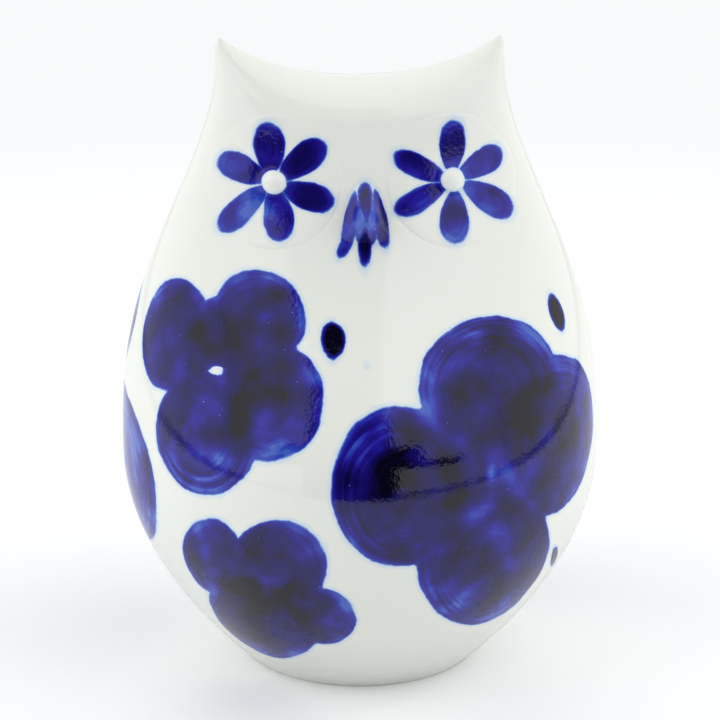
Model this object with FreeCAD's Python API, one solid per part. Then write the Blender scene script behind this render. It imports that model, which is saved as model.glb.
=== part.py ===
import FreeCAD, Part
import math
import os

# Owl figurine: a hollow slip-cast porcelain body with applied eye discs, eye
# beads and beak. Millimetres. +Z is up, the owl looks along -Y, and the origin
# is the middle of the foot, on the table plane.

# ---- driving dimensions: body -------------------------------------------------------
total_height = 150.0          # table to the ear tips
foot_radius = 28.8            # outer edge of the flat foot
belly_radius = 56.9           # widest, round part of the body
belly_height = 51.5           # height of that widest part
crown_half_width = 33.2       # half the distance between the ear points
crown_half_depth = 11.5       # half the front-to-back thickness under the crown
crown_dip = 9.0               # how far the crown sags between the ears
crown_round = 12.0            # height over which the crown rounds over
dip_start = 38.5              # the sag starts this far above the belly line
ear_round = 2.5               # height over which an ear point rounds in
ear_turn = 1.2                # how far it comes in

wall = 3.5                    # cast wall
base_thickness = 4.0          # wall under the body
ear_fill = 11.0               # the ears are solid from here up
void_dip = 1.5                # sag of the hollow's own top

foot_ring_width = 4.0         # flat ring that stands on the table
foot_recess = 1.5             # depth of the hollow inside the ring
foot_edge_round = 0.8         # softened outer edge of the foot
vent_radius = 6.0             # casting and firing vent in the base

# ---- driving dimensions: face -------------------------------------------------------
eye_spacing = 40.8            # between the eye centres
eye_height = 119.7            # height of the eye centres
eye_lean = 13.0               # degrees the round of an eye disc looks upward
disc_radius = 15.2            # eye disc
disc_proud = 0.45             # how far a disc stands out of the face
disc_seat = 1.1               # how far a disc is let into the face
bead_radius = 4.2             # eye bead
bead_rise = 1.9               # its dome above the disc
bead_seat = 0.6               # depth of its flat-bottomed socket

beak_top_height = 119.4       # where the bridge starts
beak_length = 13.4            # from the bridge to the underside, along the face
beak_bridge_width = 5.0       # across the top
beak_foot_width = 12.0        # across the bottom
beak_rise = 6.5               # ridge above the face at the tip
beak_tip_share = 0.30         # the tip sits this share of the length up
beak_end_pinch = 0.35         # how much both ends draw in
beak_seat = 1.5               # how far the beak is let into the face

fit = 0.10                    # clearance round a piece let into its seat
slip_film = 0.05              # slip under an eye disc

# ---- the form between those sizes -----------------------------------------------------
foot_power = 1.9              # swell from the foot to the belly
width_power = 2.6             # fall of the half width from belly to ears
depth_place = 0.43            # where the half depth has fallen half way
depth_power = 2.6             # and how steeply
dip_power = 2.35              # how the crown curves up to the ears

# grid of a moulded surface
side_rows = 26
crown_rows = 9
around = 24
beak_rows = 20
beak_around = 16

reach = 20.0                  # cutting tools run at least this far past the work
touch = 0.01                  # points this close to a plane lie on it


def up_share(z):
    """Share of the way from the belly line to the ear tips."""
    return min(1.0, max(0.0, (z - belly_height) / (total_height - belly_height)))


def foot_flare(z):
    """Near-parabola from the foot radius out to the belly radius."""
    f = max(0.0, 1.0 - z / belly_height)
    return foot_radius + (belly_radius - foot_radius) * (1.0 - f ** foot_power)


def half_width(z):
    """Half width of the section at a height, seen from the front."""
    if z <= belly_height:
        return foot_flare(z)
    fall = (1.0 - up_share(z) ** width_power) ** width_power
    tip = min(1.0, max(0.0, 1.0 - (total_height - z) / ear_round))
    blunt = ear_turn * (1.0 - math.sqrt(1.0 - tip * tip))
    return crown_half_width + (belly_radius - crown_half_width) * fall - blunt


def half_depth(z):
    """Half depth of the section: a bell curve from the round belly to the crown."""
    if z <= belly_height:
        return foot_flare(z)
    end = 1.0 / (1.0 + depth_place ** -depth_power)
    fall = (1.0 / (1.0 + (up_share(z) / depth_place) ** depth_power) - end) / (1.0 - end)
    return crown_half_depth + (belly_radius - crown_half_depth) * fall


def slope(curve, z):
    """Rate at which a half size changes with height."""
    step = 0.25
    low = max(0.0, z - step)
    high = min(total_height, z + step)
    return (curve(high) - curve(low)) / (high - low)


def size_at(curve, z, inset):
    """Half size of a form set in by inset, square to the wall."""
    return curve(z) - inset * math.sqrt(1.0 + slope(curve, z) ** 2)


def sag(across, z, top, dip):
    """How far a section drops at a share of its half width."""
    start = belly_height + dip_start
    pull = max(0.0, (z - start) / (top - start)) ** 2
    return dip * (1.0 - abs(across) ** dip_power) * pull


def moulded_surface(grid):
    surface = Part.BSplineSurface()
    surface.interpolate(grid)
    return surface.toShape()


def closed_solid(faces):
    shell = Part.makeShell(faces)
    shell.sewShape()
    solid = Part.makeSolid(Part.Shell(shell.Faces))
    if solid.Volume < 0:
        solid.reverse()
    return solid


def body_form(inset, bottom=0.0, top=total_height, dip=crown_dip):
    """Solid of the body's form, its wall set in by inset, in a front and a back half.

    A section is an ellipse. Its middle sags towards the top, and over the crown
    its depth closes as a quarter ellipse.
    """
    close = top - crown_round
    levels = [(bottom + (close - bottom) * i / side_rows, 1.0) for i in range(side_rows)]
    for i in range(crown_rows + 1):
        turn = 0.5 * math.pi * i / crown_rows
        levels.append((close + crown_round * math.sin(turn), math.cos(turn)))

    faces = []
    for side in (-1.0, 1.0):
        grid = []
        for z, depth_share in levels:
            a = size_at(half_width, z, inset)
            b = side * size_at(half_depth, z, inset) * depth_share
            row = []
            for k in range(around + 1):
                angle = math.pi * k / around
                across = math.cos(angle)
                height = z - sag(across, z, top, dip)
                row.append(FreeCAD.Vector(a * across, b * math.sin(angle), height))
            grid.append(row)
        faces.append(moulded_surface(grid))

    rim = []
    for face in faces:
        rim += [e for e in face.Edges if e.BoundBox.ZMax < bottom + touch]
    faces.append(Part.Face(Part.Wire(Part.__sortEdges__(rim))))
    return closed_solid(faces)


def front_point(x, z, stand_out):
    """Point of the front wall at a true x and height, and the way the wall looks."""
    level = z
    for _ in range(12):
        a = size_at(half_width, level, -stand_out)
        level = z + sag(x / a, level, total_height, crown_dip)
    b = size_at(half_depth, level, -stand_out)
    y = b * math.sqrt(1.0 - (x / a) ** 2)
    look = FreeCAD.Vector(x * b * b / (a * a * y), -1.0, -slope(half_depth, level) * y / b)
    look.normalize()
    return FreeCAD.Vector(x, -y, z), look


def round_tool(point, look, radius, below, above):
    """Cylinder along a direction, from below a point to above it."""
    return Part.makeCylinder(radius, below + above, point - look * below, look)


# ---- body shell -------------------------------------------------------------------------
floor_height = foot_recess + base_thickness
ring_inner = foot_radius - foot_ring_width

outer = body_form(0.0)
foot_edges = [e for e in outer.Edges if e.BoundBox.ZMax < touch]
body = outer.makeFillet(foot_edge_round, foot_edges)
body = body.cut(body_form(wall, floor_height, total_height - ear_fill, void_dip))
body = body.cut(Part.makeCone(ring_inner, ring_inner - foot_recess, foot_recess))
body = body.cut(Part.makeCylinder(vent_radius, floor_height + reach, FreeCAD.Vector(0.0, 0.0, -reach)))

# ---- eye discs and their beads -------------------------------------------------------------
pieces = {}
proud_form = body_form(-disc_proud)
seat_form = body_form(disc_seat)
film_form = body_form(disc_seat - slip_film)
tilt = math.radians(eye_lean)
disc_look = FreeCAD.Vector(0.0, -math.cos(tilt), math.sin(tilt))
ball_radius = (bead_radius ** 2 + bead_rise ** 2) / (2.0 * bead_rise)

for name, side in (("left", 1.0), ("right", -1.0)):
    centre, look = front_point(side * 0.5 * eye_spacing, eye_height, disc_proud)
    # the disc's tool stops at the parting plane, its upper edge being the first to get there
    ahead = -centre.y / math.cos(tilt) - disc_radius * math.tan(tilt)

    pocket = round_tool(centre, disc_look, disc_radius + fit, ahead, reach)
    body = body.cut(pocket.cut(seat_form))

    disc = round_tool(centre, disc_look, disc_radius, ahead, reach)
    disc = disc.common(proud_form).cut(film_form)
    socket = round_tool(centre, look, bead_radius + fit, bead_seat, reach)
    pieces["eye_disc_" + name] = disc.cut(socket)

    drum = round_tool(centre, look, bead_radius, bead_seat, 0.0)
    ball = Part.makeSphere(ball_radius, centre + look * (bead_rise - ball_radius))
    dome = ball.common(round_tool(centre, look, ball_radius, 0.0, ball_radius))
    pieces["eye_bead_" + name] = drum.fuse(dome).removeSplitter()

# ---- beak -----------------------------------------------------------------------------------
# It lies on a flat seat along the face: v runs up the face, u across it, w out of it.
beak_top = front_point(0.0, beak_top_height, 0.0)[0]
drop = beak_length
for _ in range(12):
    beak_low = front_point(0.0, beak_top_height - drop, 0.0)[0]
    drop = math.sqrt(beak_length ** 2 - (beak_top.y - beak_low.y) ** 2)
along = beak_top - beak_low
along.normalize()
out = FreeCAD.Vector(0.0, -along.z, along.y)


def beak_point(u, v, w):
    return beak_low + FreeCAD.Vector(u, 0.0, 0.0) + along * v + out * w


def beak_half_width(share):
    """Half width from the bottom (0) to the bridge (1), both ends drawn in."""
    taper = 0.5 * (beak_foot_width + (beak_bridge_width - beak_foot_width) * share)
    return taper * (1.0 - beak_end_pinch * (2.0 * share - 1.0) ** 6)


def beak_ridge(share):
    """Ridge height: a quarter sine up from the bottom to the tip, then a soft fall."""
    if share < beak_tip_share:
        return beak_rise * math.sin(0.5 * math.pi * share / beak_tip_share)
    f = (share - beak_tip_share) / (1.0 - beak_tip_share)
    return beak_rise * (1.0 - f) * (1.0 + 0.6 * f * (1.0 - f))


def beak_shares():
    """Shares of the length, closer together at the two ends."""
    return [0.5 - 0.5 * math.cos(math.pi * i / beak_rows) for i in range(beak_rows + 1)]


def beak_front():
    """The beak's moulded front, with a sharper ridge at the tip than at the bridge."""
    grid = []
    for share in beak_shares():
        rise = max(0.0, beak_ridge(share))
        sharp = 0.85 + 0.45 * math.exp(-((share - beak_tip_share) / 0.3) ** 2)
        row = []
        for k in range(beak_around + 1):
            angle = math.pi * k / beak_around
            u = beak_half_width(share) * math.cos(angle)
            row.append(beak_point(u, share * beak_length, rise * max(0.0, math.sin(angle)) ** sharp))
        grid.append(row)
    return moulded_surface(grid)


def beak_pocket():
    """Seat for the beak: its outline grown by the clearance, open to the front."""
    outline = []
    for share in beak_shares():
        v = share * beak_length + fit * (2.0 * share - 1.0)
        outline.append((beak_half_width(share) + fit, v))
    edges = []
    for sign in (1.0, -1.0):
        curve = Part.BSplineCurve()
        curve.interpolate([beak_point(sign * u, v, -beak_seat) for u, v in outline])
        edges.append(curve.toShape())
    for u, v in (outline[0], outline[-1]):
        edges.append(Part.makeLine(beak_point(-u, v, -beak_seat), beak_point(u, v, -beak_seat)))
    return Part.Face(Part.Wire(Part.__sortEdges__(edges))).extrude(out * (beak_seat + reach))


seat = beak_pocket()
body = body.cut(seat)
for name in ("eye_disc_left", "eye_disc_right"):
    pieces[name] = pieces[name].cut(seat)     # takes nothing while the discs stay clear of the beak
front = beak_front()
stem = Part.Face(Part.Wire(Part.__sortEdges__(front.Edges))).extrude(out * -beak_seat)
stem_faces = [f for f in stem.Faces if min((v.Point - beak_low).dot(out) for v in f.Vertexes) < -touch]
pieces["beak"] = closed_solid(stem_faces + [front])
pieces["body_shell"] = body

# ---- files ---------------------------------------------------------------------------------
os.makedirs("parts", exist_ok=True)
for name, shape in pieces.items():
    if len(shape.Solids) != 1:
        raise RuntimeError("%s should be one solid, not %d" % (name, len(shape.Solids)))
    shape.Solids[0].exportStep("parts/%s.step" % name)
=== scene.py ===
import math

import bmesh
import bpy
import numpy as np
from bpy.props import FloatProperty, FloatVectorProperty, IntProperty, PointerProperty
from bpy.types import Operator, Panel, PropertyGroup
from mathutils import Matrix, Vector


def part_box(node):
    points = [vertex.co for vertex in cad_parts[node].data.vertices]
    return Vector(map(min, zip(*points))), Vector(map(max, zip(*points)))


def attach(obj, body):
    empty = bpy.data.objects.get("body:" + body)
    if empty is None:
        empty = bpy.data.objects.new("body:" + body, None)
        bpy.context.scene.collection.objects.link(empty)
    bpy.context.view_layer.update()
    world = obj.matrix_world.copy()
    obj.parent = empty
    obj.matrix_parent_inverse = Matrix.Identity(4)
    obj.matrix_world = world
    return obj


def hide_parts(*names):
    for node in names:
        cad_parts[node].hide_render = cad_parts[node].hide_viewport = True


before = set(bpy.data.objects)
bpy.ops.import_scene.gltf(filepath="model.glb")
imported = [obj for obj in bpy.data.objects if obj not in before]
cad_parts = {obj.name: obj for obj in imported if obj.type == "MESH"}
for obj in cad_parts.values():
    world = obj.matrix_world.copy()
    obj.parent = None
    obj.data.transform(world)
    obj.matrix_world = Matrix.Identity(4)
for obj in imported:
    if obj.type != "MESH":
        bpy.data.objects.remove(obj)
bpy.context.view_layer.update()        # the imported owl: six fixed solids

bl_info = {
    "name": "Glazed Porcelain Owl",
    "version": (1, 0, 0),
    "blender": (4, 5, 0),
    "location": "3D View > Sidebar > Owl",
    "description": "Builds a slip-cast porcelain owl with cobalt brush flowers under a clear glaze",
    "category": "Add Mesh",
}

MM = 0.001
SHELL_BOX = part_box("body_shell")
CAD_MARGIN = 0.02 * MM     # the glazed skin stays this far inside the solid's box


# ---- properties -------------------------------------------------------------------------

def length(name, millimetres, description):
    """A size in metres, given in millimetres."""
    return FloatProperty(name=name, description=description, default=millimetres * MM,
                         min=0.0, precision=5, unit="LENGTH")


def share(name, value, description):
    """A plain number."""
    return FloatProperty(name=name, description=description, default=value, precision=3)


def linear(hex_colour):
    """sRGB hex to the linear values that shaders take."""
    values = [(hex_colour >> shift & 255) / 255.0 for shift in (16, 8, 0)]
    return tuple(v / 12.92 if v <= 0.04045 else ((v + 0.055) / 1.055) ** 2.4 for v in values)


def colour(name, hex_colour, description):
    """A colour given as sRGB hex."""
    return FloatVectorProperty(name=name, description=description, subtype="COLOR", size=3,
                               min=0.0, max=1.0, default=linear(hex_colour))


class OwlForm(PropertyGroup):
    """Sizes of the cast body."""
    total_height: length("Height", (SHELL_BOX[1].z - SHELL_BOX[0].z) / MM, "Table to the ear tips")
    belly_radius: length("Belly radius", (SHELL_BOX[1].x - CAD_MARGIN) / MM, "Widest part of the body")
    belly_height: length("Belly height", 51.5, "Height of the widest part")
    foot_radius: length("Foot radius", 28.8, "Outer edge of the foot ring")
    crown_half_width: length("Crown half width", 33.2, "Half the distance between the ears")
    crown_half_depth: length("Crown half depth", 11.5, "Half the thickness under the crown")
    crown_dip: length("Crown dip", 9.0, "Sag of the crown between the ears")
    crown_round: length("Crown rounding", 12.0, "Height over which the crown rounds over")
    dip_start: length("Dip start", 38.5, "The sag starts this far above the belly line")
    ear_round: length("Ear rounding", 2.5, "Height over which an ear point rounds in")
    ear_turn: length("Ear turn", 1.2, "How far an ear point comes in")
    wall: length("Wall", 3.5, "Thickness of the casting")
    base_thickness: length("Base", 4.0, "Thickness of the base")
    ear_fill: length("Ear fill", 11.0, "The ears are solid from here up")
    void_dip: length("Hollow dip", 1.5, "Sag of the hollow's top")
    ring_width: length("Foot ring", 4.0, "Width of the bare ring")
    recess: length("Recess", 1.5, "Depth of the base inside the ring")
    edge_round: length("Foot edge", 0.8, "Softened outer edge of the foot")
    vent_radius: length("Vent", 6.0, "Casting and firing vent")
    foot_power: share("Foot power", 1.9, "Swell from the foot to the belly")
    width_power: share("Width power", 2.6, "Fall of the width from belly to ears")
    depth_place: share("Depth place", 0.43, "Where the depth has fallen half way")
    depth_power: share("Depth power", 2.6, "How steeply the depth falls")
    dip_power: share("Dip power", 2.35, "How the crown curves up to the ears")


class OwlFace(PropertyGroup):
    """Sizes of the eyes and beak."""
    eye_spacing: length("Eye spacing", 40.8, "Between the eye centres")
    eye_height: length("Eye height", 119.7, "Height of the eye centres")
    eye_lean: FloatProperty(name="Eye lean", description="How far a disc's round looks upward",
                            default=math.radians(13.0), unit="ROTATION")
    disc_radius: length("Disc radius", 15.2, "Raised eye disc")
    disc_proud: length("Disc rise", 0.16, "How far a disc stands out of the face")
    disc_edge: length("Disc edge", 2.8, "Width of its soft edge")
    bead_radius: length("Bead radius", 4.4, "Eye bead with its soft skirt")
    bead_rise: length("Bead rise", 2.1, "Height of the bead above the disc")
    bead_cap: share("Bead cap", 0.72, "The round cap's share of the bead's radius")
    beak_top: length("Beak top", 119.4, "Height where the bridge starts")
    beak_length: length("Beak length", 13.4, "From bridge to underside, along the face")
    bridge_width: length("Bridge width", 5.0, "Across the top")
    beak_width: length("Beak width", 12.0, "Across the bottom")
    beak_rise: length("Beak rise", 6.4, "Ridge above the face at the tip")
    tip_share: share("Tip place", 0.30, "The tip's share of the length from the bottom")
    end_pinch: share("End pinch", 0.35, "How much both ends draw in")


class OwlPaint(PropertyGroup):
    """Colours of the clay, the cobalt and the table."""
    porcelain: colour("Porcelain", 0xE9ECE5, "White porcelain under clear glaze")
    biscuit: colour("Biscuit", 0xE0DACD, "Bare fired clay of the foot ring")
    # its pale blue is also the painted shade round the foot of each eye bead
    bleed_and_shade: colour("Bleed", 0xCBDDEC, "Faint cobalt that has bled into the glaze")
    wash: colour("Cobalt wash", 0x7C9CDC, "A wash at the very edge")
    thin: colour("Thin cobalt", 0x2F49B6, "One thin pass of the brush")
    full: colour("Full cobalt", 0x241B98, "One loaded pass")
    deep: colour("Deep cobalt", 0x140C68, "Two passes")
    pooled: colour("Pooled cobalt", 0x040318, "Where the paint pooled")
    table: colour("Table", 0xF6F7F8, "Plain pale table")
    streak: length("Bristle streak", 1.15, "Spacing of the brush's streaks")
    columns: IntProperty(name="Columns", description="Grid columns round the body",
                         default=384, min=32, max=400)


# ---- the body's form: the same curves as the solid's ----------------------------------------

def up_share(z, s):
    """Share of the way from the belly line to the ear tips, 0 to 1."""
    return np.clip((z - s.belly_height) / (s.total_height - s.belly_height), 0.0, 1.0)


def foot_flare(z, s):
    """Foot radius plus the swell to the belly, one minus (one minus the height share) to a power."""
    f = np.clip(1.0 - z / s.belly_height, 0.0, 1.0)
    return s.foot_radius + (s.belly_radius - s.foot_radius) * (1.0 - f ** s.foot_power)


def half_width(z, s):
    """Above the belly: crown width plus the rest times (1 - share^p)^p, less the ear's rounding."""
    fall = (1.0 - up_share(z, s) ** s.width_power) ** s.width_power
    tip = np.clip(1.0 - (s.total_height - z) / s.ear_round, 0.0, 1.0)
    blunt = s.ear_turn * (1.0 - np.sqrt(1.0 - tip * tip))
    above = s.crown_half_width + (s.belly_radius - s.crown_half_width) * fall - blunt
    return np.where(z <= s.belly_height, foot_flare(z, s), above)


def half_depth(z, s):
    """Above the belly: crown depth plus the rest times a bell, 1 / (1 + (share / place)^p)."""
    end = 1.0 / (1.0 + s.depth_place ** -s.depth_power)
    bell = 1.0 / (1.0 + (up_share(z, s) / s.depth_place) ** s.depth_power)
    above = s.crown_half_depth + (s.belly_radius - s.crown_half_depth) * (bell - end) / (1.0 - end)
    return np.where(z <= s.belly_height, foot_flare(z, s), above)


def slope(curve, z, s):
    """Rate at which a half size changes with height, as a difference over half a millimetre."""
    low = np.clip(z - 0.25 * MM, 0.0, None)
    high = np.clip(z + 0.25 * MM, None, s.total_height)
    return (curve(high, s) - curve(low, s)) / (high - low)


def size_at(curve, z, inset, s):
    """Half size of a form set in square to the wall: the curve less inset * sqrt(1 + slope^2)."""
    return curve(z, s) - inset * np.sqrt(1.0 + slope(curve, z, s) ** 2)


def sag(across, z, top, dip, s):
    """Drop of a section: dip * (1 - |across|^p) * (height share above the dip's start)^2."""
    start = s.belly_height + s.dip_start
    pull = np.clip((z - start) / (top - start), 0.0, None) ** 2
    return dip * (1.0 - np.abs(across) ** s.dip_power) * pull


def body_grid(z, depth_share, angles, inset, top, dip, s):
    """Ellipses at the heights z: x = a cos t, y = b * depth share * sin t, height = z - sag."""
    z = z[:, None]
    across = np.cos(angles)[None, :]
    x = size_at(half_width, z, inset, s) * across
    y = size_at(half_depth, z, inset, s) * depth_share[:, None] * np.sin(angles)[None, :]
    return np.stack([x, y, z - sag(across, z, top, dip, s)], axis=-1)


def turned_grid(radii, heights, angles):
    """A turned profile: circles of the given radii at the given heights."""
    r = np.asarray(radii, float)[:, None]
    z = np.asarray(heights, float)[:, None] + 0.0 * angles[None, :]
    return np.stack([r * np.cos(angles), r * np.sin(angles), z], axis=-1)


def front_wall(x, z, stand_out, s):
    """Depth of the front wall at a true x and height: the section is found by adding its sag back."""
    level = z
    for _ in range(12):
        a = size_at(half_width, level, -stand_out, s)
        level = z + sag(x / a, level, s.total_height, s.crown_dip, s)
    b = size_at(half_depth, level, -stand_out, s)
    return -b * np.sqrt(np.clip(1.0 - (x / a) ** 2, 0.0, 1.0))


def surface_frame(azimuth, height, s):
    """Point on the wall at an angle from the front, with its right, up and outward directions."""
    a, b = float(half_width(height, s)), float(half_depth(height, s))
    turn = math.atan2(math.sin(azimuth) / a, math.cos(azimuth) / b)
    level = height
    for _ in range(12):
        level = height + float(sag(math.sin(turn), level, s.total_height, s.crown_dip, s))
        a, b = float(half_width(level, s)), float(half_depth(level, s))
        turn = math.atan2(math.sin(azimuth) / a, math.cos(azimuth) / b)
    point = Vector((a * math.sin(turn), -b * math.cos(turn), height))
    rise_a, rise_b = float(slope(half_width, level, s)), float(slope(half_depth, level, s))
    out = Vector((math.sin(turn) / a, -math.cos(turn) / b, 0.0))
    out.z = -(rise_a * math.sin(turn) ** 2 / a + rise_b * math.cos(turn) ** 2 / b)
    out.normalize()
    right = Vector((-out.y, out.x, 0.0)).normalized()
    return point, right, out.cross(right), out


# ---- meshes ---------------------------------------------------------------------------------

def skin(name, grid, wrap, materials, slots=None):
    """A grid of points as a smooth mesh: quads between neighbours, doubles merged, faces outward."""
    rows, columns = grid.shape[:2]
    number = np.arange(rows * columns).reshape(rows, columns)
    ahead = np.roll(number, -1, axis=1)
    quads = np.stack([number[:-1], ahead[:-1], ahead[1:], number[1:]], axis=-1)
    if not wrap:
        quads = quads[:, :-1]
    mesh = bpy.data.meshes.new(name)
    mesh.from_pydata(grid.reshape(-1, 3), [], quads.reshape(-1, 4))
    if slots is not None:
        mesh.polygons.foreach_set("material_index", np.repeat(slots, quads.shape[1]))
    work = bmesh.new()
    work.from_mesh(mesh)
    bmesh.ops.remove_doubles(work, verts=work.verts, dist=0.0004 * MM)
    if work.calc_volume(signed=True) < 0.0:
        bmesh.ops.reverse_faces(work, faces=work.faces)
    work.to_mesh(mesh)
    work.free()
    for material in materials:
        mesh.materials.append(material)
    mesh.polygons.foreach_set("use_smooth", np.ones(len(mesh.polygons), bool))
    piece = bpy.data.objects.new(name, mesh)
    bpy.context.scene.collection.objects.link(piece)
    return piece


def settle(piece, node):
    """Fix a piece to the owl, in place of its solid."""
    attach(piece, "root")
    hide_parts(node)


# ---- brush dabs: where the cobalt goes ----------------------------------------------------------
# A dab is an ellipse of paint. A "brush" dab has an edge and its own body of paint; a "patch", where
# paint pooled or ran thin, only adds to or takes from the paint under it; a "bare" dab is left out
# of the paint; the last kind is a pale blue ring of painted shade, partly glaze pooled with cobalt in it,
# with no paint of its own.

NO_PAINT = -9.0        # depth, in millimetres, of a point that no dab comes near
BARE_GAIN = 1.6        # a bare dab cuts its edge this much more steeply than paint makes one
SHADE_RING_DEPTH = -0.45    # a ring of painted shade stops at this depth, outside the paint but inside its pale blue edge
BODY_SHARE = 0.45      # paint thickens over this share of a dab's mean size, a patch over all of it
BODY_REACH = 5.0       # but over no more than this, in millimetres
BODY_GAIN = 0.24       # paint that a dab of weight 1 adds
STREAK_STEP = 7.3      # streaks between one dab's and the next one's, so that none line up
RIM_FROM = 0.35        # streaks start at this share of the way out
RIM_OVER = 0.45        # and grow over this much of it
RIM_ROUND = 0.35       # strength of the streaks at a lobe's flanks, where 1 is on its outer side
RIM_GAIN = 1.05        # strength of the streaks at the rim of a dab of rim 1
RIM_LEAST = 0.22       # strength of the streaks everywhere
NARROWEST = 0.4        # a tapered dab is never narrower than this share of its width


def dab(place, long, wide, turn, weight=1.0, rim=0.0, taper=0.0, kind="brush", depth=40.0):
    """One dab: half sizes and depth in millimetres, turn in degrees from upright to the right."""
    return {"place": place, "long": long * MM, "wide": wide * MM, "turn": math.radians(turn),
            "weight": weight, "rim": rim, "taper": taper, "kind": kind, "depth": depth * MM,
            "outward": Vector()}


def on_body(azimuth, height, long, wide, turn, **more):
    """A dab on the wall: degrees from the front, height and half sizes in millimetres."""
    form = bpy.context.scene.owl_form
    return dab(surface_frame(math.radians(azimuth), height * MM, form), long, wide, turn, **more)


# azimuth, height, half length, half width, turn, then weight and the strength of the rim's streaks
# A flower's first four lobes stand round its middle, three in the last one; the rest fill it in.
FLOWERS = [[
    # on the owl's right side
    (-64.5, 86.0, 13.4, 10.8, -27, 0.9, 0.3), (-40.5, 91.7, 12.0, 11.0, -43, 1.0, 0.2),
    (-28.0, 77.0, 14.4, 12.2, -27, 1.0, 0.1), (-44.3, 67.8, 15.1, 13.3, -76, 0.7, 1.0),
    (-51.6, 88.0, 8.6, 5.6, -20, 0.8, 0.0), (-43.0, 84.6, 8.5, 6.5, -44, 0.3, 0.0),
    (-49.3, 77.0, 8.0, 6.2, -45, 0.3, 0.0),
], [
    # large, on its left side
    (36.5, 78.3, 19.2, 15.9, 75, 0.8, 1.0), (52.3, 64.5, 19.8, 17.2, 62, 0.9, 0.5),
    (7.5, 60.0, 18.0, 16.4, -5, 1.0, 1.0), (29.8, 38.6, 24.5, 16.5, -38, 0.8, 0.6),
    (28.7, 64.0, 12.0, 11.0, 41, 0.3, 0.0),
], [
    # low
    (-41.5, 38.0, 12.7, 8.2, 32, 0.9, 0.1), (-23.5, 38.5, 15.1, 11.0, 35, 0.8, 0.1),
    (-13.0, 26.5, 10.3, 7.8, 4, 0.9, 0.1), (-32.0, 22.5, 19.0, 13.4, 34, 1.1, 0.1),
    (-34.5, 33.0, 9.0, 6.5, 30, 0.3, 0.0),
], [
    # round the right side
    (-88.0, 49.5, 19.5, 28.5, 0, -0.3, 0.6), (-103.0, 82.0, 16.0, 17.0, 10, 0.5, 0.7),
    (-125.0, 54.0, 20.0, 18.0, 60, 0.8, 0.9), (-106.0, 31.0, 17.0, 15.0, -20, 1.0, 0.6),
    (-106.0, 56.0, 12.0, 11.0, 0, 0.2, 0.0),
], [
    # round the left side
    (105.5, 59.0, 22.0, 20.0, 10, 0.8, 0.9), (124.0, 82.0, 18.0, 15.0, -30, 1.0, 0.6),
    (143.0, 55.0, 19.0, 17.0, 40, 0.8, 1.0), (122.0, 33.0, 18.0, 15.0, 0, 0.9, 0.6),
    (124.0, 58.0, 12.0, 10.0, 0, 0.2, 0.0),
], [
    # on the back
    (190.0, 88.0, 15.0, 13.0, 30, 0.9, 0.8), (177.0, 78.0, 14.5, 12.5, -70, 0.8, 1.0),
    (190.0, 65.0, 15.5, 13.5, 80, 1.0, 0.6), (203.0, 76.0, 14.0, 12.0, 10, 0.8, 0.9),
    (190.0, 77.0, 9.0, 8.0, 0, 0.2, 0.0),
], [
    # small, low on the back
    (196.0, 40.0, 11.5, 9.0, 40, 1.0, 0.3), (186.0, 31.0, 12.0, 10.0, -35, 0.9, 0.5),
    (203.0, 27.0, 11.0, 9.0, 10, 0.9, 0.4),
]]

# azimuth, height, half length, half width, turn; the first three overlap in one round dot
SPOTS = [
    (-13.3, 88.9, 4.2, 2.3, 0), (-11.3, 88.4, 4.0, 2.3, 0), (-12.3, 88.3, 4.7, 2.0, 0),
    (67.1, 88.8, 4.7, 2.5, 5), (56.9, 32.1, 5.2, 1.5, -38),
    (160.0, 98.0, 4.4, 3.0, 10), (-137.0, 99.0, 4.6, 2.8, -20), (163.0, 29.0, 5.0, 2.6, 35),
    (-85.0, 24.0, 4.8, 2.6, 40),
]

STRAY_SPECK = (-0.8, 83.9, 0.55, 0.5, 0)     # a splash of paint on the chest

# azimuth, height, half length, half width, turn, weight: where paint pooled (+) or ran thin (-)
PATCHES = [
    (-34.4, 72.5, 12.5, 4.8, -15, 1.1), (-56.3, 83.8, 10.1, 4.2, -23, 0.7),
    (-41.1, 64.2, 8.5, 6.0, 77, -1.5), (-39.0, 91.8, 3.4, 3.0, -45, -0.6),
    (-24.3, 76.7, 5.5, 3.2, -12, 0.1), (-64.8, 85.6, 5.4, 2.4, -28, -0.5),
    (-36.1, 97.0, 5.7, 2.8, -72, 0.7), (-50.6, 65.9, 6.0, 1.8, -14, 0.7),
    (18.6, 80.5, 12.5, 3.4, 24, -0.8), (38.0, 88.8, 12.0, 3.0, -83, -0.6),
    (28.8, 75.4, 13.5, 8.0, 18, 1.0), (2.6, 61.9, 9.6, 6.0, 1, 1.3),
    (49.3, 64.0, 12.5, 5.6, 32, 0.9), (59.0, 57.0, 6.2, 4.6, -6, -0.7),
    (17.8, 59.0, 8.0, 2.8, 79, -0.7), (26.5, 36.0, 8.5, 4.6, -24, -0.5),
    (23.7, 53.0, 8.5, 3.8, -78, -0.5), (24.4, 43.1, 8.0, 4.0, -84, 0.7),
    (4.4, 48.8, 7.0, 4.0, -85, -0.5), (40.5, 66.0, 8.0, 8.0, 0, 0.6),
    (-31.5, 30.5, 13.0, 5.5, 10, 0.8), (-41.5, 40.0, 3.5, 2.5, 0, -0.5),
    (-24.5, 36.5, 5.5, 3.5, 60, -0.6), (-17.5, 26.5, 3.5, 6.0, 0, 0.5),
    (28.3, 60.8, 3.2, 2.2, 0, -1.6),
]

# azimuth, height, half length, half width, turn: bare places where a flower's dabs don't meet
GAPS = [(-45.9, 81.0, 1.9, 1.0, 84), (-107.0, 58.0, 2.2, 1.2, 20),
        (124.5, 57.0, 2.0, 1.3, -30), (189.5, 77.0, 2.2, 1.4, 60)]


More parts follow.
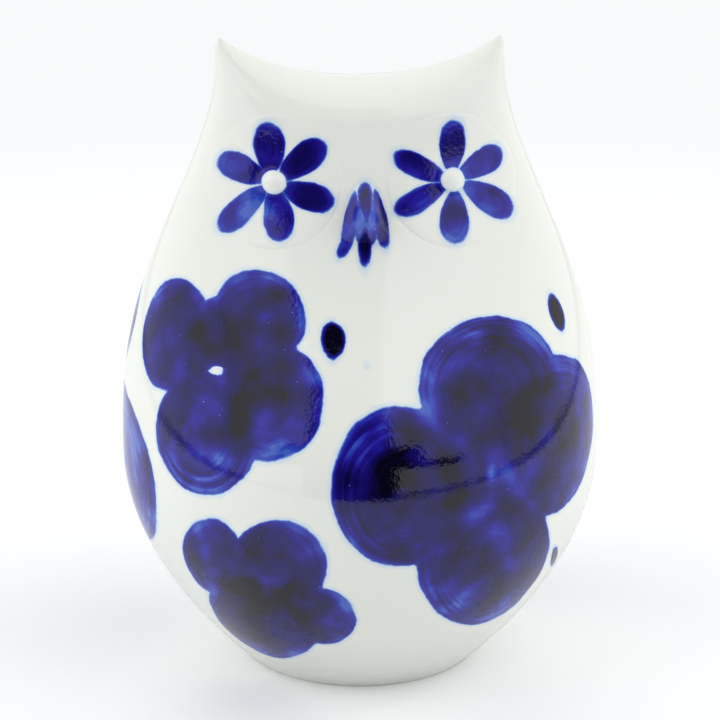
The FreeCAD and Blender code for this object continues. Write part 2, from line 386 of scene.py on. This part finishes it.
def body_dabs():
    """The flowers, spots and dashes on the body."""
    dabs = []
    for flower in FLOWERS:
        lobes = [on_body(*lobe[:5], weight=lobe[5], rim=lobe[6]) for lobe in flower]
        middle = sum((lobe["place"][0] for lobe in lobes[:4]), Vector()) / len(lobes[:4])
        for lobe in lobes:
            lobe["outward"] = (lobe["place"][0] - middle).normalized()
        dabs += lobes
    dabs += [on_body(*spot, weight=2.6) for spot in SPOTS]
    dabs += [on_body(*STRAY_SPECK, weight=0.1)]
    dabs += [on_body(*patch[:5], weight=patch[5], kind="patch") for patch in PATCHES]
    dabs += [on_body(*gap, kind="bare") for gap in GAPS]
    return dabs + petal_dabs("left") + petal_dabs("right") + beak_dabs()


def face_plane():
    """The way the eye discs look, and the right and up directions across it."""
    lean = bpy.context.scene.owl_face.eye_lean
    out = Vector((0.0, -math.cos(lean), math.sin(lean)))
    right = Vector((1.0, 0.0, 0.0))
    return right, out.cross(right), out


# x, height, half length, half width, turn, weight, taper, kind
STROKES = [
    # the second, a patch of weight -2.2, pales the middle of the beak: partly thin paint, partly a painted
    # highlight along the ridge
    (0.1, 112.0, 6.3, 3.0, 0, 0.0, -0.15, "brush"), (0.1, 111.6, 6.4, 3.0, 0, -2.2, -0.1, "patch"),
    (-3.1, 112.2, 6.4, 1.65, 9, 0.6, -0.25, "brush"), (3.5, 112.1, 6.5, 1.65, -9, 0.6, -0.25, "brush"),
    (-4.3, 106.2, 3.0, 1.35, 32, 0.5, 0.0, "brush"), (0.1, 115.4, 5.3, 1.6, 0, 1.6, 0.45, "brush"),
    (-0.2, 106.9, 6.0, 1.5, 0, 1.4, -0.4, "brush"),
]


def beak_dabs():
    """Brush strokes down the beak, laid straight back from the front of the face."""
    right, up, out = face_plane()
    made = []
    for x, z, long, wide, turn, weight, taper, kind in STROKES:
        made.append(dab((Vector((x, -20.0, z)) * MM, right, up, out), long, wide, turn,
                        weight=weight, taper=taper, kind=kind, depth=14.0))
    return made


# across and up from the eye's centre, half length, half width, turn, weight
PETALS = {
    "right": [(-0.9, 7.6, 6.0, 3.5, 0, 0.0), (6.4, 4.7, 6.6, 3.2, 49, 0.6),
              (7.5, -3.2, 6.8, 3.2, -69, 0.4), (0.8, -7.1, 6.6, 3.3, -6, 0.3),
              (-6.9, -5.7, 7.0, 2.9, 48, 0.3), (-7.3, 3.0, 6.3, 3.2, -66, 0.1)],
    "left": [(0.1, 7.4, 6.0, 3.1, 5, 0.1), (6.6, 3.6, 6.0, 3.1, 61, 0.1),
             (8.3, -4.5, 7.2, 3.3, -59, 0.1), (0.1, -8.4, 6.3, 3.3, 4, 0.2),
             (-7.4, -4.2, 6.9, 2.8, 62, 0.6), (-7.5, 2.9, 6.8, 2.8, -63, 0.2)],
}


def petal_dabs(side):
    """Six petals about an eye, wider at the outer end."""
    form, face = bpy.context.scene.owl_form, bpy.context.scene.owl_face
    right, up, out = face_plane()
    x = (0.5 if side == "left" else -0.5) * face.eye_spacing
    y = float(front_wall(x, face.eye_height, 0.0, form))
    centre = Vector((x, y, face.eye_height))
    made = []
    for across, rise, long, wide, turn, weight in PETALS[side]:
        point = centre + (right * across + up * rise) * MM
        outward = math.cos(math.radians(turn)) * rise + math.sin(math.radians(turn)) * across
        made.append(dab((point, right, up, out), long, wide, turn, weight=weight,
                        taper=0.24 if outward > 0.0 else -0.24, depth=12.0))
    # painted shade: a pale blue ring round the foot of the bead, partly glaze pooled there with cobalt in
    # it; the bead's cap stays white
    for radius, kind in ((4.3, "shade_ring"), (2.75, "bare")):
        made.append(dab((centre, right, up, out), radius, radius, 0, kind=kind, depth=12.0))
    return made


def brush_on(piece, dabs):
    """Lay dabs on a piece and keep four numbers at each point of its mesh.

    A dab's depth at a point is (1 - distance in its own ellipse) * its mean size, in
    millimetres. brush_edge is the deepest dab's depth, less the places left bare. brush_body
    adds up each dab's paint, which thickens over a few millimetres. brush_turn counts streaks
    out from the middle of the deepest dab, and brush_rim says how strongly they show there,
    most on the side away from the flower's middle.
    """
    paint = bpy.context.scene.owl_paint
    flat = np.empty(len(piece.data.vertices) * 3)
    piece.data.vertices.foreach_get("co", flat)
    points = flat.reshape(-1, 3)
    edge = np.full(len(points), NO_PAINT)
    body, turns, rim = (np.zeros(len(points)) for _ in range(3))
    for count, one in enumerate(dabs):
        spot, right, up, out = (np.array(v) for v in one["place"])
        cosine, sine = math.cos(one["turn"]), math.sin(one["turn"])
        off = points - spot
        along = off @ (right * sine + up * cosine) / one["long"]
        across = off @ (right * cosine - up * sine) / one["wide"]
        across = across / np.clip(1.0 + one["taper"] * along, NARROWEST, None)
        distance = np.sqrt(along ** 2 + across ** 2 + (off @ out / one["depth"]) ** 2)
        size = math.sqrt(one["long"] * one["wide"]) / MM
        depth = (1.0 - distance) * size
        if one["kind"] == "bare":
            edge = np.minimum(edge, -BARE_GAIN * depth)
            continue
        # a ring of painted shade only lifts the edge to the pale blue just outside the paint
        if one["kind"] == "shade_ring":
            edge = np.maximum(edge, np.minimum(depth, SHADE_RING_DEPTH))
            continue
        thick = size if one["kind"] == "patch" else min(BODY_SHARE * size, BODY_REACH)
        share_in = np.clip(depth / thick, 0.0, 1.0)
        body += BODY_GAIN * one["weight"] * share_in ** 2 * (3.0 - 2.0 * share_in)
        if one["kind"] == "patch":
            continue
        deepest = depth > edge
        edge = np.where(deepest, depth, edge)
        turns = np.where(deepest, distance * size * MM / paint.streak + STREAK_STEP * count, turns)
        outer = np.clip((distance - RIM_FROM) / RIM_OVER, 0.0, 1.0) ** 1.5
        outer *= np.clip(RIM_ROUND + off @ np.array(one["outward"]) / (size * MM), 0.0, 1.0)
        rim = np.where(deepest, RIM_GAIN * one["rim"] * outer + RIM_LEAST, rim)
    for name, values in (("brush_edge", edge), ("brush_body", body), ("brush_turn", turns),
                         ("brush_rim", rim)):
        held = piece.data.attributes.new(name, "FLOAT", "POINT")
        held.data.foreach_set("value", values.astype(np.float32))


# ---- materials ------------------------------------------------------------------------------

def node(tree, kind, sockets=None, **settings):
    """Add a node with its settings; sockets maps an input to a value or to an output to link."""
    made = tree.nodes.new(kind)
    for key, value in settings.items():
        setattr(made, key, value)
    for key, value in (sockets or {}).items():
        if isinstance(value, bpy.types.NodeSocket):
            tree.links.new(value, made.inputs[key])
        else:
            made.inputs[key].default_value = value
    return made


def new_material(name):
    material = bpy.data.materials.new(name)
    material.use_nodes = True
    material.node_tree.nodes.clear()
    return material, material.node_tree


def glazed_porcelain():
    """Cast porcelain, cobalt painted on the biscuit, under a clear transparent glaze.

    The glaze gives sharp reflections at an IOR of 1.5 over white clay; the cobalt has bled
    to pale blue at its edges, a pale blue that also makes a ring of painted shade round each eye bead's
    foot, and pools nearly black where two dabs overlap.
    """
    name = "glazed_porcelain"
    if name in bpy.data.materials:
        return bpy.data.materials[name]
    paint = bpy.context.scene.owl_paint
    material, tree = new_material(name)
    place = node(tree, "ShaderNodeTexCoord").outputs["Object"]
    edge, body, turn, rim = (
        node(tree, "ShaderNodeAttribute", attribute_name="brush_" + part).outputs["Fac"]
        for part in ("edge", "body", "turn", "rim"))

    # the outline wanders by a third of a millimetre over 9 mm, and the bristles leave it ragged
    for spacing, reach, detail in ((9.0, 1.7, 1.0), (1.5, 0.55, 2.0)):
        wander = node(tree, "ShaderNodeTexNoise", {"Vector": place, "Scale": 1.0 / (spacing * MM),
                                                   "Detail": detail})
        shift = node(tree, "ShaderNodeMapRange", {"Value": wander.outputs[0], "To Min": -0.5 * reach,
                                                  "To Max": 0.5 * reach})
        edge = node(tree, "ShaderNodeMath", {0: edge, 1: shift.outputs[0]}, operation="ADD").outputs[0]

    # the paint's own body: blotches 11, 5.5 and 2.5 mm across where it dried unevenly
    for spacing, reach, detail in ((11.0, 0.95, 1.0), (5.5, 0.38, 1.0), (2.5, 0.10, 1.0)):
        blotch = node(tree, "ShaderNodeTexNoise", {"Vector": place, "Scale": 1.0 / (spacing * MM),
                                                   "Detail": detail})
        shift = node(tree, "ShaderNodeMapRange", {"Value": blotch.outputs[0], "To Min": -0.5 * reach,
                                                  "To Max": 0.5 * reach})
        body = node(tree, "ShaderNodeMath", {0: body, 1: shift.outputs[0]}, operation="ADD").outputs[0]

    # streaks that follow the outline, one per bristle bundle, drifting over 15 mm along the stroke
    drift = node(tree, "ShaderNodeVectorMath", {0: place, "Scale": 1.0 / (15.0 * MM)}, operation="SCALE")
    lift = node(tree, "ShaderNodeCombineXYZ", {"Z": turn})
    stroke = node(tree, "ShaderNodeVectorMath", {0: drift.outputs[0], 1: lift.outputs[0]}, operation="ADD")
    streak = node(tree, "ShaderNodeTexNoise", {"Vector": stroke.outputs[0], "Scale": 1.0, "Detail": 2.0,
                                               "Roughness": 0.6})
    swing = node(tree, "ShaderNodeMath", {0: streak.outputs[0], 1: 0.55}, operation="SUBTRACT")
    body = node(tree, "ShaderNodeMath", {0: swing.outputs[0], 1: rim, 2: body},
                operation="MULTIPLY_ADD").outputs[0]

    # from the edge in: a pale blue over 1.3 mm where cobalt bled into the glaze, also the painted shade
    # round the beads' feet; a thin rim, then the full body of the paint
    halo = node(tree, "ShaderNodeMapRange", {"Value": edge, "From Min": -1.3, "From Max": 0.1,
                                             "To Max": 0.06}, interpolation_type="SMOOTHSTEP")
    base = node(tree, "ShaderNodeMapRange", {"Value": edge, "From Min": 0.2, "From Max": 1.4,
                                             "To Min": 0.39, "To Max": 0.46})
    gain = node(tree, "ShaderNodeMapRange", {"Value": edge, "From Min": 0.2, "From Max": 1.4,
                                             "To Min": 0.45, "To Max": 1.0})
    inner = node(tree, "ShaderNodeMath", {0: body, 1: gain.outputs[0], 2: base.outputs[0]},
                 operation="MULTIPLY_ADD")
    inner = node(tree, "ShaderNodeMath", {0: inner.outputs[0], 1: 0.25}, operation="MAXIMUM")
    cover = node(tree, "ShaderNodeMapRange", {"Value": edge, "From Min": -0.4, "From Max": 0.5},
                 interpolation_type="SMOOTHSTEP")
    amount = node(tree, "ShaderNodeMath", {0: cover.outputs[0], 1: inner.outputs[0]}, operation="MULTIPLY")
    amount = node(tree, "ShaderNodeMath", {0: halo.outputs[0], 1: amount.outputs[0]}, operation="MAXIMUM")

    # pinholes: burst bubbles of the glaze, 0.2 mm across and soft out to 0.4 mm, every 3.6 mm or so
    cells = node(tree, "ShaderNodeTexVoronoi", {"Vector": place, "Scale": 1.0 / (3.6 * MM)})
    clear = node(tree, "ShaderNodeMapRange", {"Value": cells.outputs["Distance"], "From Min": 0.025,
                                              "From Max": 0.055, "To Min": 0.3})
    amount = node(tree, "ShaderNodeMath", {0: amount.outputs[0], 1: clear.outputs[0]},
                  operation="MULTIPLY").outputs[0]

    ramp = node(tree, "ShaderNodeValToRGB", {"Fac": amount})
    # the pale blue stop at 0.06 is bled cobalt and the painted shade round the beads' feet
    stops = [(0.0, paint.porcelain), (0.06, paint.bleed_and_shade), (0.15, paint.wash), (0.27, paint.thin),
             (0.42, paint.full), (0.60, paint.deep), (0.95, paint.pooled)]
    band = ramp.color_ramp
    while len(band.elements) < len(stops):
        band.elements.new(0.5)
    for element, (position, value) in zip(band.elements, stops):
        element.position = position
        element.color = (*value, 1.0)

    # the glaze lies in slow swells 14 mm apart, with an orange peel over 0.9 mm where it crosses cobalt
    swell = node(tree, "ShaderNodeTexNoise", {"Vector": place, "Scale": 1.0 / (14.0 * MM), "Detail": 1.0})
    peel = node(tree, "ShaderNodeTexNoise", {"Vector": place, "Scale": 1.0 / (0.9 * MM), "Detail": 3.0})
    rough = node(tree, "ShaderNodeMapRange", {"Value": amount, "From Max": 0.6, "To Min": 0.02,
                                              "To Max": 0.4}, interpolation_type="SMOOTHSTEP")
    relief = node(tree, "ShaderNodeMath", {0: peel.outputs[0], 1: rough.outputs[0]}, operation="MULTIPLY")
    relief = node(tree, "ShaderNodeMath", {0: swell.outputs[0], 1: 0.8, 2: relief.outputs[0]},
                  operation="MULTIPLY_ADD")
    bump = node(tree, "ShaderNodeBump", {"Height": relief.outputs[0], "Strength": 1.0,
                                         "Distance": 0.1 * MM})
    clay = node(tree, "ShaderNodeBsdfPrincipled", {
        "Base Color": ramp.outputs["Color"], "Roughness": 0.06, "IOR": 1.5, "Normal": bump.outputs[0]})
    node(tree, "ShaderNodeOutputMaterial", {"Surface": clay.outputs[0]})
    return material


def bare_biscuit():
    """Unglazed fired porcelain: fine dry grain, no gloss."""
    paint = bpy.context.scene.owl_paint
    material, tree = new_material("bare_biscuit_porcelain")
    place = node(tree, "ShaderNodeTexCoord").outputs["Object"]
    grain = node(tree, "ShaderNodeTexNoise", {"Vector": place, "Scale": 1.0 / (0.5 * MM), "Detail": 3.0})
    tone = node(tree, "ShaderNodeMapRange", {"Value": grain.outputs[0], "To Min": 0.92,
                                             "To Max": 1.04}).outputs[0]
    shade = node(tree, "ShaderNodeVectorMath", {0: tuple(paint.biscuit), "Scale": tone},
                 operation="SCALE").outputs[0]
    bump = node(tree, "ShaderNodeBump", {"Height": grain.outputs[0], "Strength": 0.4,
                                         "Distance": 0.03 * MM}).outputs[0]
    clay = node(tree, "ShaderNodeBsdfPrincipled", {"Base Color": shade, "Roughness": 0.75,
                                                   "IOR": 1.5, "Normal": bump})
    node(tree, "ShaderNodeOutputMaterial", {"Surface": clay.outputs[0]})
    return material


# ---- pieces ---------------------------------------------------------------------------------

class OWL_OT_body(Operator):
    """Cast body: one closed skin, outside and hollow, with foot ring, recess and vent"""
    bl_idname = "owl.body"
    bl_label = "Body"

    def execute(self, context):
        s, paint = context.scene.owl_form, context.scene.owl_paint
        angles = np.linspace(0.0, 2.0 * math.pi, paint.columns, endpoint=False)
        quarter = np.linspace(0.0, 0.5 * math.pi, 24)

        def crown(close):
            return close + s.crown_round * np.sin(quarter), np.cos(quarter)

        # hollow, from its top down to the base
        floor_height = s.recess + s.base_thickness
        void_top = s.total_height - s.ear_fill
        top_z, top_share = crown(void_top - s.crown_round)
        wall_z = np.linspace(floor_height, void_top - s.crown_round, 30)[:-1]
        void_z = np.concatenate([wall_z, top_z[::3], top_z[-1:]])[::-1]
        void_share = np.concatenate([np.ones(len(wall_z)), top_share[::3], top_share[-1:]])[::-1]
        hollow = body_grid(void_z, void_share, angles, s.wall, void_top, s.void_dip, s)

        # base: vent, recess and foot ring, then the softened edge up to the wall
        ring_inner = s.foot_radius - s.ring_width
        wall_rise = math.atan2(1.0, float(slope(foot_flare, np.array(0.5 * MM), s)))
        edge_middle = s.foot_radius - s.edge_round * math.tan(0.5 * wall_rise)
        bend = np.linspace(0.0, wall_rise, 6)
        lip = 0.4 * MM
        radii = [s.vent_radius + lip, s.vent_radius, s.vent_radius, s.vent_radius + lip,
                 0.5 * (s.vent_radius + ring_inner), ring_inner - s.recess - lip,
                 ring_inner - s.recess + lip, ring_inner - lip, ring_inner + 0.5 * lip]
        heights = [floor_height, floor_height - lip, s.recess + lip, s.recess,
                   s.recess, s.recess, s.recess - 0.5 * lip, 0.6 * lip, 0.0]
        radii += list(edge_middle + s.edge_round * np.sin(bend))
        heights += list(s.edge_round * (1.0 - np.cos(bend)))
        base = turned_grid(radii, heights, angles)

        # outside wall and crown
        start, close = heights[-1], s.total_height - s.crown_round
        wall_z = np.linspace(start, close, 150)[1:-1]
        top_z, top_share = crown(close)
        out_z = np.concatenate([wall_z, top_z])
        out_share = np.concatenate([np.ones(len(wall_z)), top_share])
        outside = body_grid(out_z, out_share, angles, 0.0, s.total_height, s.crown_dip, s)

        grid = np.concatenate([hollow, base, outside])
        # bare up to the glaze line on the foot's softened edge, except the recess inside the ring
        glazed, bare = 0, 1
        glaze_line = len(hollow) + len(base) - 3
        recess_from, recess_to = len(hollow) + 3, len(hollow) + 7
        slots = np.where(np.arange(len(grid) - 1) < glaze_line, bare, glazed)
        slots[recess_from:recess_to] = glazed
        piece = skin("owl_body", grid, True, [glazed_porcelain(), bare_biscuit()], slots)
        brush_on(piece, body_dabs())
        settle(piece, "body_shell")
        return {"FINISHED"}


class OWL_OT_eye_discs(Operator):
    """Eye discs: thin round pads that follow the face, with a soft edge"""
    bl_idname = "owl.eye_discs"
    bl_label = "Eye discs"

    def execute(self, context):
        for side, sign in (("left", 1.0), ("right", -1.0)):
            grid = eye_grid(context.scene, sign)
            piece = skin("owl_eye_disc_" + side, grid, True, [glazed_porcelain()])
            brush_on(piece, petal_dabs(side))
            settle(piece, "eye_disc_" + side)
        return {"FINISHED"}


def on_eye(scene, sign, across, up, stand_out):
    """Points of the face straight behind a flat round that looks out at the eye's lean."""
    s, face = scene.owl_form, scene.owl_face
    tilt = face.eye_lean
    x = sign * 0.5 * face.eye_spacing + across
    y0 = float(front_wall(sign * 0.5 * face.eye_spacing, face.eye_height, 0.0, s))
    flat_y = y0 + up * math.sin(tilt)
    flat_z = face.eye_height + up * math.cos(tilt)
    reach = np.zeros_like(x)
    for _ in range(20):
        z = flat_z + reach * math.sin(tilt)
        reach = (flat_y - front_wall(x, z, stand_out, s)) / math.cos(tilt)
    z = flat_z + reach * math.sin(tilt)
    return np.stack([x, front_wall(x, z, stand_out, s), z], axis=-1)


def eye_grid(scene, sign):
    """Disc: circles out from the middle at full rise, a quarter-round edge, and back under it."""
    face = scene.owl_face
    angles = np.linspace(0.0, 2.0 * math.pi, 160, endpoint=False)
    quarter = np.linspace(0.0, 0.5 * math.pi, 8)
    flat = np.linspace(0.0, face.disc_radius - face.disc_edge, 34)
    under = 0.3 * MM
    radius = np.concatenate([flat[:-1], face.disc_radius - face.disc_edge * (1.0 - np.sin(quarter)),
                             [face.disc_radius, 0.0]])
    rise = np.concatenate([np.ones(len(flat) - 1), np.cos(quarter)])
    stand = np.concatenate([face.disc_proud * rise, [-under, -under]])
    r, h = radius[:, None], stand[:, None] + 0.0 * angles[None, :]
    return on_eye(scene, sign, r * np.cos(angles), r * np.sin(angles), h)


class OWL_OT_eye_beads(Operator):
    """Eye beads: low domes with a soft skirt at the middle of each disc"""
    bl_idname = "owl.eye_beads"
    bl_label = "Eye beads"

    def execute(self, context):
        face = context.scene.owl_face
        angles = np.linspace(0.0, 2.0 * math.pi, 96, endpoint=False)
        for side, sign in (("left", 1.0), ("right", -1.0)):
            share_out = 1.0 - np.linspace(1.0, 0.0, 44) ** 1.2
            # four fifths of the rise is a round cap, (1 - r^2)^0.6 with r counted to the cap's edge;
            # the rest is the skirt, (1 - r^2)^2, with no step where it meets the disc
            cap = np.clip(1.0 - (share_out / face.bead_cap) ** 2, 0.0, None) ** 0.6
            dome = face.disc_proud + face.bead_rise * (0.8 * cap + 0.2 * (1.0 - share_out ** 2) ** 2)
            radius = np.concatenate([share_out * face.bead_radius, [face.bead_radius, 0.0]])
            stand = np.concatenate([dome, [0.5 * face.disc_proud] * 2])
            r, h = radius[:, None], stand[:, None] + 0.0 * angles[None, :]
            grid = on_eye(context.scene, sign, r * np.cos(angles), r * np.sin(angles), h)
            piece = skin("owl_eye_bead_" + side, grid, True, [glazed_porcelain()])
            brush_on(piece, petal_dabs(side))
            settle(piece, "eye_bead_" + side)
        return {"FINISHED"}


class OWL_OT_beak(Operator):
    """Beak: a wedge with a narrow flat ridge that runs down to the tip and tucks under"""
    bl_idname = "owl.beak"
    bl_label = "Beak"

    def execute(self, context):
        s, face = context.scene.owl_form, context.scene.owl_face
        rows, columns = 72, 64
        up = 0.5 - 0.5 * np.cos(np.linspace(0.0, math.pi, rows))[:, None]
        side = np.sin(np.linspace(-0.5 * math.pi, 0.5 * math.pi, columns))[None, :]

        # half width: a straight taper, both ends drawn in by a sixth power
        taper = 0.5 * (face.beak_width + (face.bridge_width - face.beak_width) * up)
        half = taper * (1.0 - face.end_pinch * (2.0 * up - 1.0) ** 6)
        # ridge: a quarter sine from the bottom to the tip, then a soft fall to the bridge
        tip = face.tip_share
        tuck = np.sin(0.5 * math.pi * np.clip(up / tip, 0.0, 1.0))
        f = np.clip((up - tip) / (1.0 - tip), 0.0, 1.0)
        ridge = face.beak_rise * np.where(up < tip, tuck, (1.0 - f) * (1.0 + 0.6 * f * (1.0 - f)))
        # across: flat for a narrow share, then (1 - g^1.2)^1.15 down to a soft foot
        flat = 0.10 + 0.32 * f
        g = np.clip((np.abs(side) - flat) / (1.0 - flat), 0.0, 1.0)
        lift = ridge * (1.0 - g ** 1.2) ** 1.15

        z_top = face.beak_top
        y_top = float(front_wall(np.array(0.0), np.array(z_top), 0.0, s))
        drop = face.beak_length
        for _ in range(12):
            y_low = float(front_wall(np.array(0.0), np.array(z_top - drop), 0.0, s))
            drop = math.sqrt(face.beak_length ** 2 - (y_top - y_low) ** 2)
        along = Vector((0.0, y_top - y_low, drop)).normalized()
        out = (0.0, -along.z, along.y)
        x = half * side
        z = z_top - drop + up * drop + 0.0 * x
        front = np.stack([x, front_wall(x, z, 0.0, s), z], axis=-1)
        front = front + lift[..., None] * np.array(out)
        sunk = 0.6 * MM
        back = np.stack([x, front_wall(x, z, -sunk, s), z], axis=-1)[:, ::-1]
        grid = np.concatenate([front, back], axis=1)
        grid = np.concatenate([0.5 * (grid[:1] + grid[:1, ::-1]), grid,
                               0.5 * (grid[-1:] + grid[-1:, ::-1])])
        piece = skin("owl_beak", grid, True, [glazed_porcelain()])
        brush_on(piece, beak_dabs())
        settle(piece, "beak")
        return {"FINISHED"}


# ---- stage ----------------------------------------------------------------------------------

def studio_room(scene):
    """White tent: seen and reflected white; the thin dark line is the table's far edge."""
    world = scene.world or bpy.data.worlds.new("studio")
    scene.world = world
    world.use_nodes = True
    tree = world.node_tree
    tree.nodes.clear()
    way = node(tree, "ShaderNodeSeparateXYZ", {0: node(tree, "ShaderNodeTexCoord").outputs["Generated"]})
    above = node(tree, "ShaderNodeMapRange", {"Value": way.outputs["Z"], "From Min": 0.011,
                                              "From Max": 0.013, "To Min": 0.03})
    behind = node(tree, "ShaderNodeMapRange", {"Value": way.outputs["Y"], "From Min": 0.0,
                                               "From Max": 0.3})
    gleam = node(tree, "ShaderNodeMath", {0: above.outputs[0], 1: behind.outputs[0]},
                 operation="MAXIMUM")
    path = node(tree, "ShaderNodeLightPath")
    room = node(tree, "ShaderNodeBackground", {"Color": (1.0, 1.0, 1.0, 1.0), "Strength": 0.45})
    mirrored = node(tree, "ShaderNodeBackground", {"Color": (1.0, 1.0, 1.0, 1.0),
                                                   "Strength": gleam.outputs[0]})
    white = node(tree, "ShaderNodeBackground", {"Color": (1.0, 1.0, 1.0, 1.0), "Strength": 0.97})
    shown = node(tree, "ShaderNodeMixShader", {0: path.outputs["Is Glossy Ray"],
                                               1: room.outputs[0], 2: mirrored.outputs[0]})
    shown = node(tree, "ShaderNodeMixShader", {0: path.outputs["Is Camera Ray"],
                                               1: shown.outputs[0], 2: white.outputs[0]})
    node(tree, "ShaderNodeOutputWorld", {"Surface": shown.outputs[0]})


def sheet(name, corners, material, seen_only_mirrored=False):
    """A flat four-cornered sheet of the stage."""
    mesh = bpy.data.meshes.new(name)
    mesh.from_pydata(corners, [], [(0, 1, 2, 3)])
    mesh.materials.append(material)
    made = bpy.data.objects.new(name, mesh)
    bpy.context.scene.collection.objects.link(made)
    if seen_only_mirrored:
        made.visible_camera = made.visible_diffuse = made.visible_shadow = False


class OWL_OT_stage(Operator):
    """Pale table, dark sheets to mirror, soft boxes round and overhead, and the camera"""
    bl_idname = "owl.stage"
    bl_label = "Stage"

    def execute(self, context):
        scene = context.scene
        paint = scene.owl_paint
        reach = 4.0
        cool_white = (0.98, 0.99, 1.0, 1.0)
        material, tree = new_material("pale_table")
        # to the camera the table is a little brighter than its lamps make it, and goes over into
        # the white backdrop between 0.25 and 0.7 m from the owl
        seen = node(tree, "ShaderNodeLightPath").outputs["Is Camera Ray"]
        away = node(tree, "ShaderNodeVectorMath", {0: node(tree, "ShaderNodeTexCoord").outputs["Object"]},
                    operation="LENGTH").outputs["Value"]
        fade = node(tree, "ShaderNodeMapRange", {"Value": away, "From Min": 0.25, "From Max": 0.7},
                    interpolation_type="SMOOTHSTEP")
        lit = node(tree, "ShaderNodeMath", {0: seen, 1: 0.09}, operation="MULTIPLY")
        fade = node(tree, "ShaderNodeMath", {0: seen, 1: fade.outputs[0]}, operation="MULTIPLY")
        matt = node(tree, "ShaderNodeBsdfDiffuse", {"Color": (*paint.table, 1.0)})
        glow = node(tree, "ShaderNodeEmission", {"Color": cool_white, "Strength": lit.outputs[0]})
        near = node(tree, "ShaderNodeAddShader", {0: matt.outputs[0], 1: glow.outputs[0]})
        far = node(tree, "ShaderNodeEmission", {"Color": cool_white, "Strength": 0.96})
        both = node(tree, "ShaderNodeMixShader", {0: fade.outputs[0], 1: near.outputs[0],
                                                  2: far.outputs[0]})
        node(tree, "ShaderNodeOutputMaterial", {"Surface": both.outputs[0]})
        sheet("table", [(-reach, -reach, 0), (reach, -reach, 0), (reach, reach, 0), (-reach, reach, 0)],
              material)

        # the dark side of the room, seen only in the glaze: three sheets before the camera's place,
        # and the tent's two poles; each from a left to a right foot point, between two heights
        before = -0.35
        cloth, tree = new_material("dark_cloth")
        black = node(tree, "ShaderNodeBsdfDiffuse", {"Color": (0.015, 0.015, 0.018, 1.0)})
        node(tree, "ShaderNodeOutputMaterial", {"Surface": black.outputs[0]})
        for name, left, right, low, high in (
                ("dark_tall", (-0.178, before), (0.079, before), 0.035, 0.84),
                ("dark_wide", (-0.300, before), (0.170, before), 0.205, 0.345),
                ("dark_low", (0.170, before), (0.330, before), 0.205, 0.245),
                ("pole_left", (-0.727, -0.336), (-0.724, -0.343), 0.0, 1.1),
                ("pole_right", (0.724, -0.343), (0.727, -0.336), 0.0, 1.1)):
            sheet(name, [(*left, low), (*right, low), (*right, high), (*left, high)], cloth, True)

        # soft boxes: direction from the owl (degrees from the front), distance, height, size, radiance
        for name, azimuth, away, height, wide, tall, radiance in (
                ("soft_left", -84.0, 0.85, 0.30, 1.15, 1.30, 1.4),
                ("soft_right", 82.0, 0.85, 0.30, 1.15, 1.30, 1.4),
                ("soft_top", 0.0, 0.0, 1.05, 1.30, 1.30, 0.7),
                ("soft_back", 180.0, 1.0, 0.40, 1.60, 1.20, 0.4)):
            light = bpy.data.lights.new(name, "AREA")
            light.shape = "RECTANGLE"
            light.size, light.size_y = wide, tall
            light.energy = radiance * math.pi * wide * tall
            lamp = bpy.data.objects.new(name, light)
            turn = math.radians(azimuth)
            lamp.location = (away * math.sin(turn), -away * math.cos(turn), height)
            aim = Vector((0.0, 0.0, 0.07)) - lamp.location
            lamp.rotation_euler = aim.to_track_quat("-Z", "Y").to_euler()
            lamp.visible_camera = False
            lamp.visible_glossy = False
            scene.collection.objects.link(lamp)
        studio_room(scene)
        scene.view_settings.view_transform = "Standard"

        # camera: in front and a little to the owl's right, looking down
        camera_away, camera_height = 0.6, 0.2703
        lens = bpy.data.cameras.new("camera")
        lens.lens = 132.45
        lens.sensor_width = 36.0
        camera = bpy.data.objects.new("camera", lens)
        swing, pitch = math.radians(-3.0), math.radians(18.3)
        camera.location = (camera_away * math.sin(swing), -camera_away * math.cos(swing), camera_height)
        camera.rotation_euler = (0.5 * math.pi - pitch, 0.0, swing)
        scene.collection.objects.link(camera)
        scene.camera = camera
        return {"FINISHED"}


class OWL_PT_panel(Panel):
    """Lists the pieces and their sizes"""
    bl_label = "Porcelain owl"
    bl_idname = "OWL_PT_panel"
    bl_space_type = "VIEW_3D"
    bl_region_type = "UI"
    bl_category = "Owl"

    def draw(self, context):
        for group in ("owl_form", "owl_face", "owl_paint"):
            held = getattr(context.scene, group)
            box = self.layout.box()
            for key in held.bl_rna.properties.keys():
                if key not in ("rna_type", "name"):
                    box.prop(held, key)
        for operator in OPERATORS:
            self.layout.operator(operator.bl_idname)


OPERATORS = (OWL_OT_body, OWL_OT_eye_discs, OWL_OT_eye_beads, OWL_OT_beak, OWL_OT_stage)
GROUPS = {"owl_form": OwlForm, "owl_face": OwlFace, "owl_paint": OwlPaint}


def register():
    for kind in (*GROUPS.values(), *OPERATORS, OWL_PT_panel):
        bpy.utils.register_class(kind)
    for name, group in GROUPS.items():
        setattr(bpy.types.Scene, name, PointerProperty(type=group))


def unregister():
    for name in GROUPS:
        delattr(bpy.types.Scene, name)
    for kind in (OWL_PT_panel, *reversed(OPERATORS), *reversed(tuple(GROUPS.values()))):
        bpy.utils.unregister_class(kind)


def main():
    register()
    bpy.ops.owl.body()
    bpy.ops.owl.eye_discs()
    bpy.ops.owl.eye_beads()
    bpy.ops.owl.beak()
    bpy.ops.owl.stage()


if __name__ == "__main__":
    main()
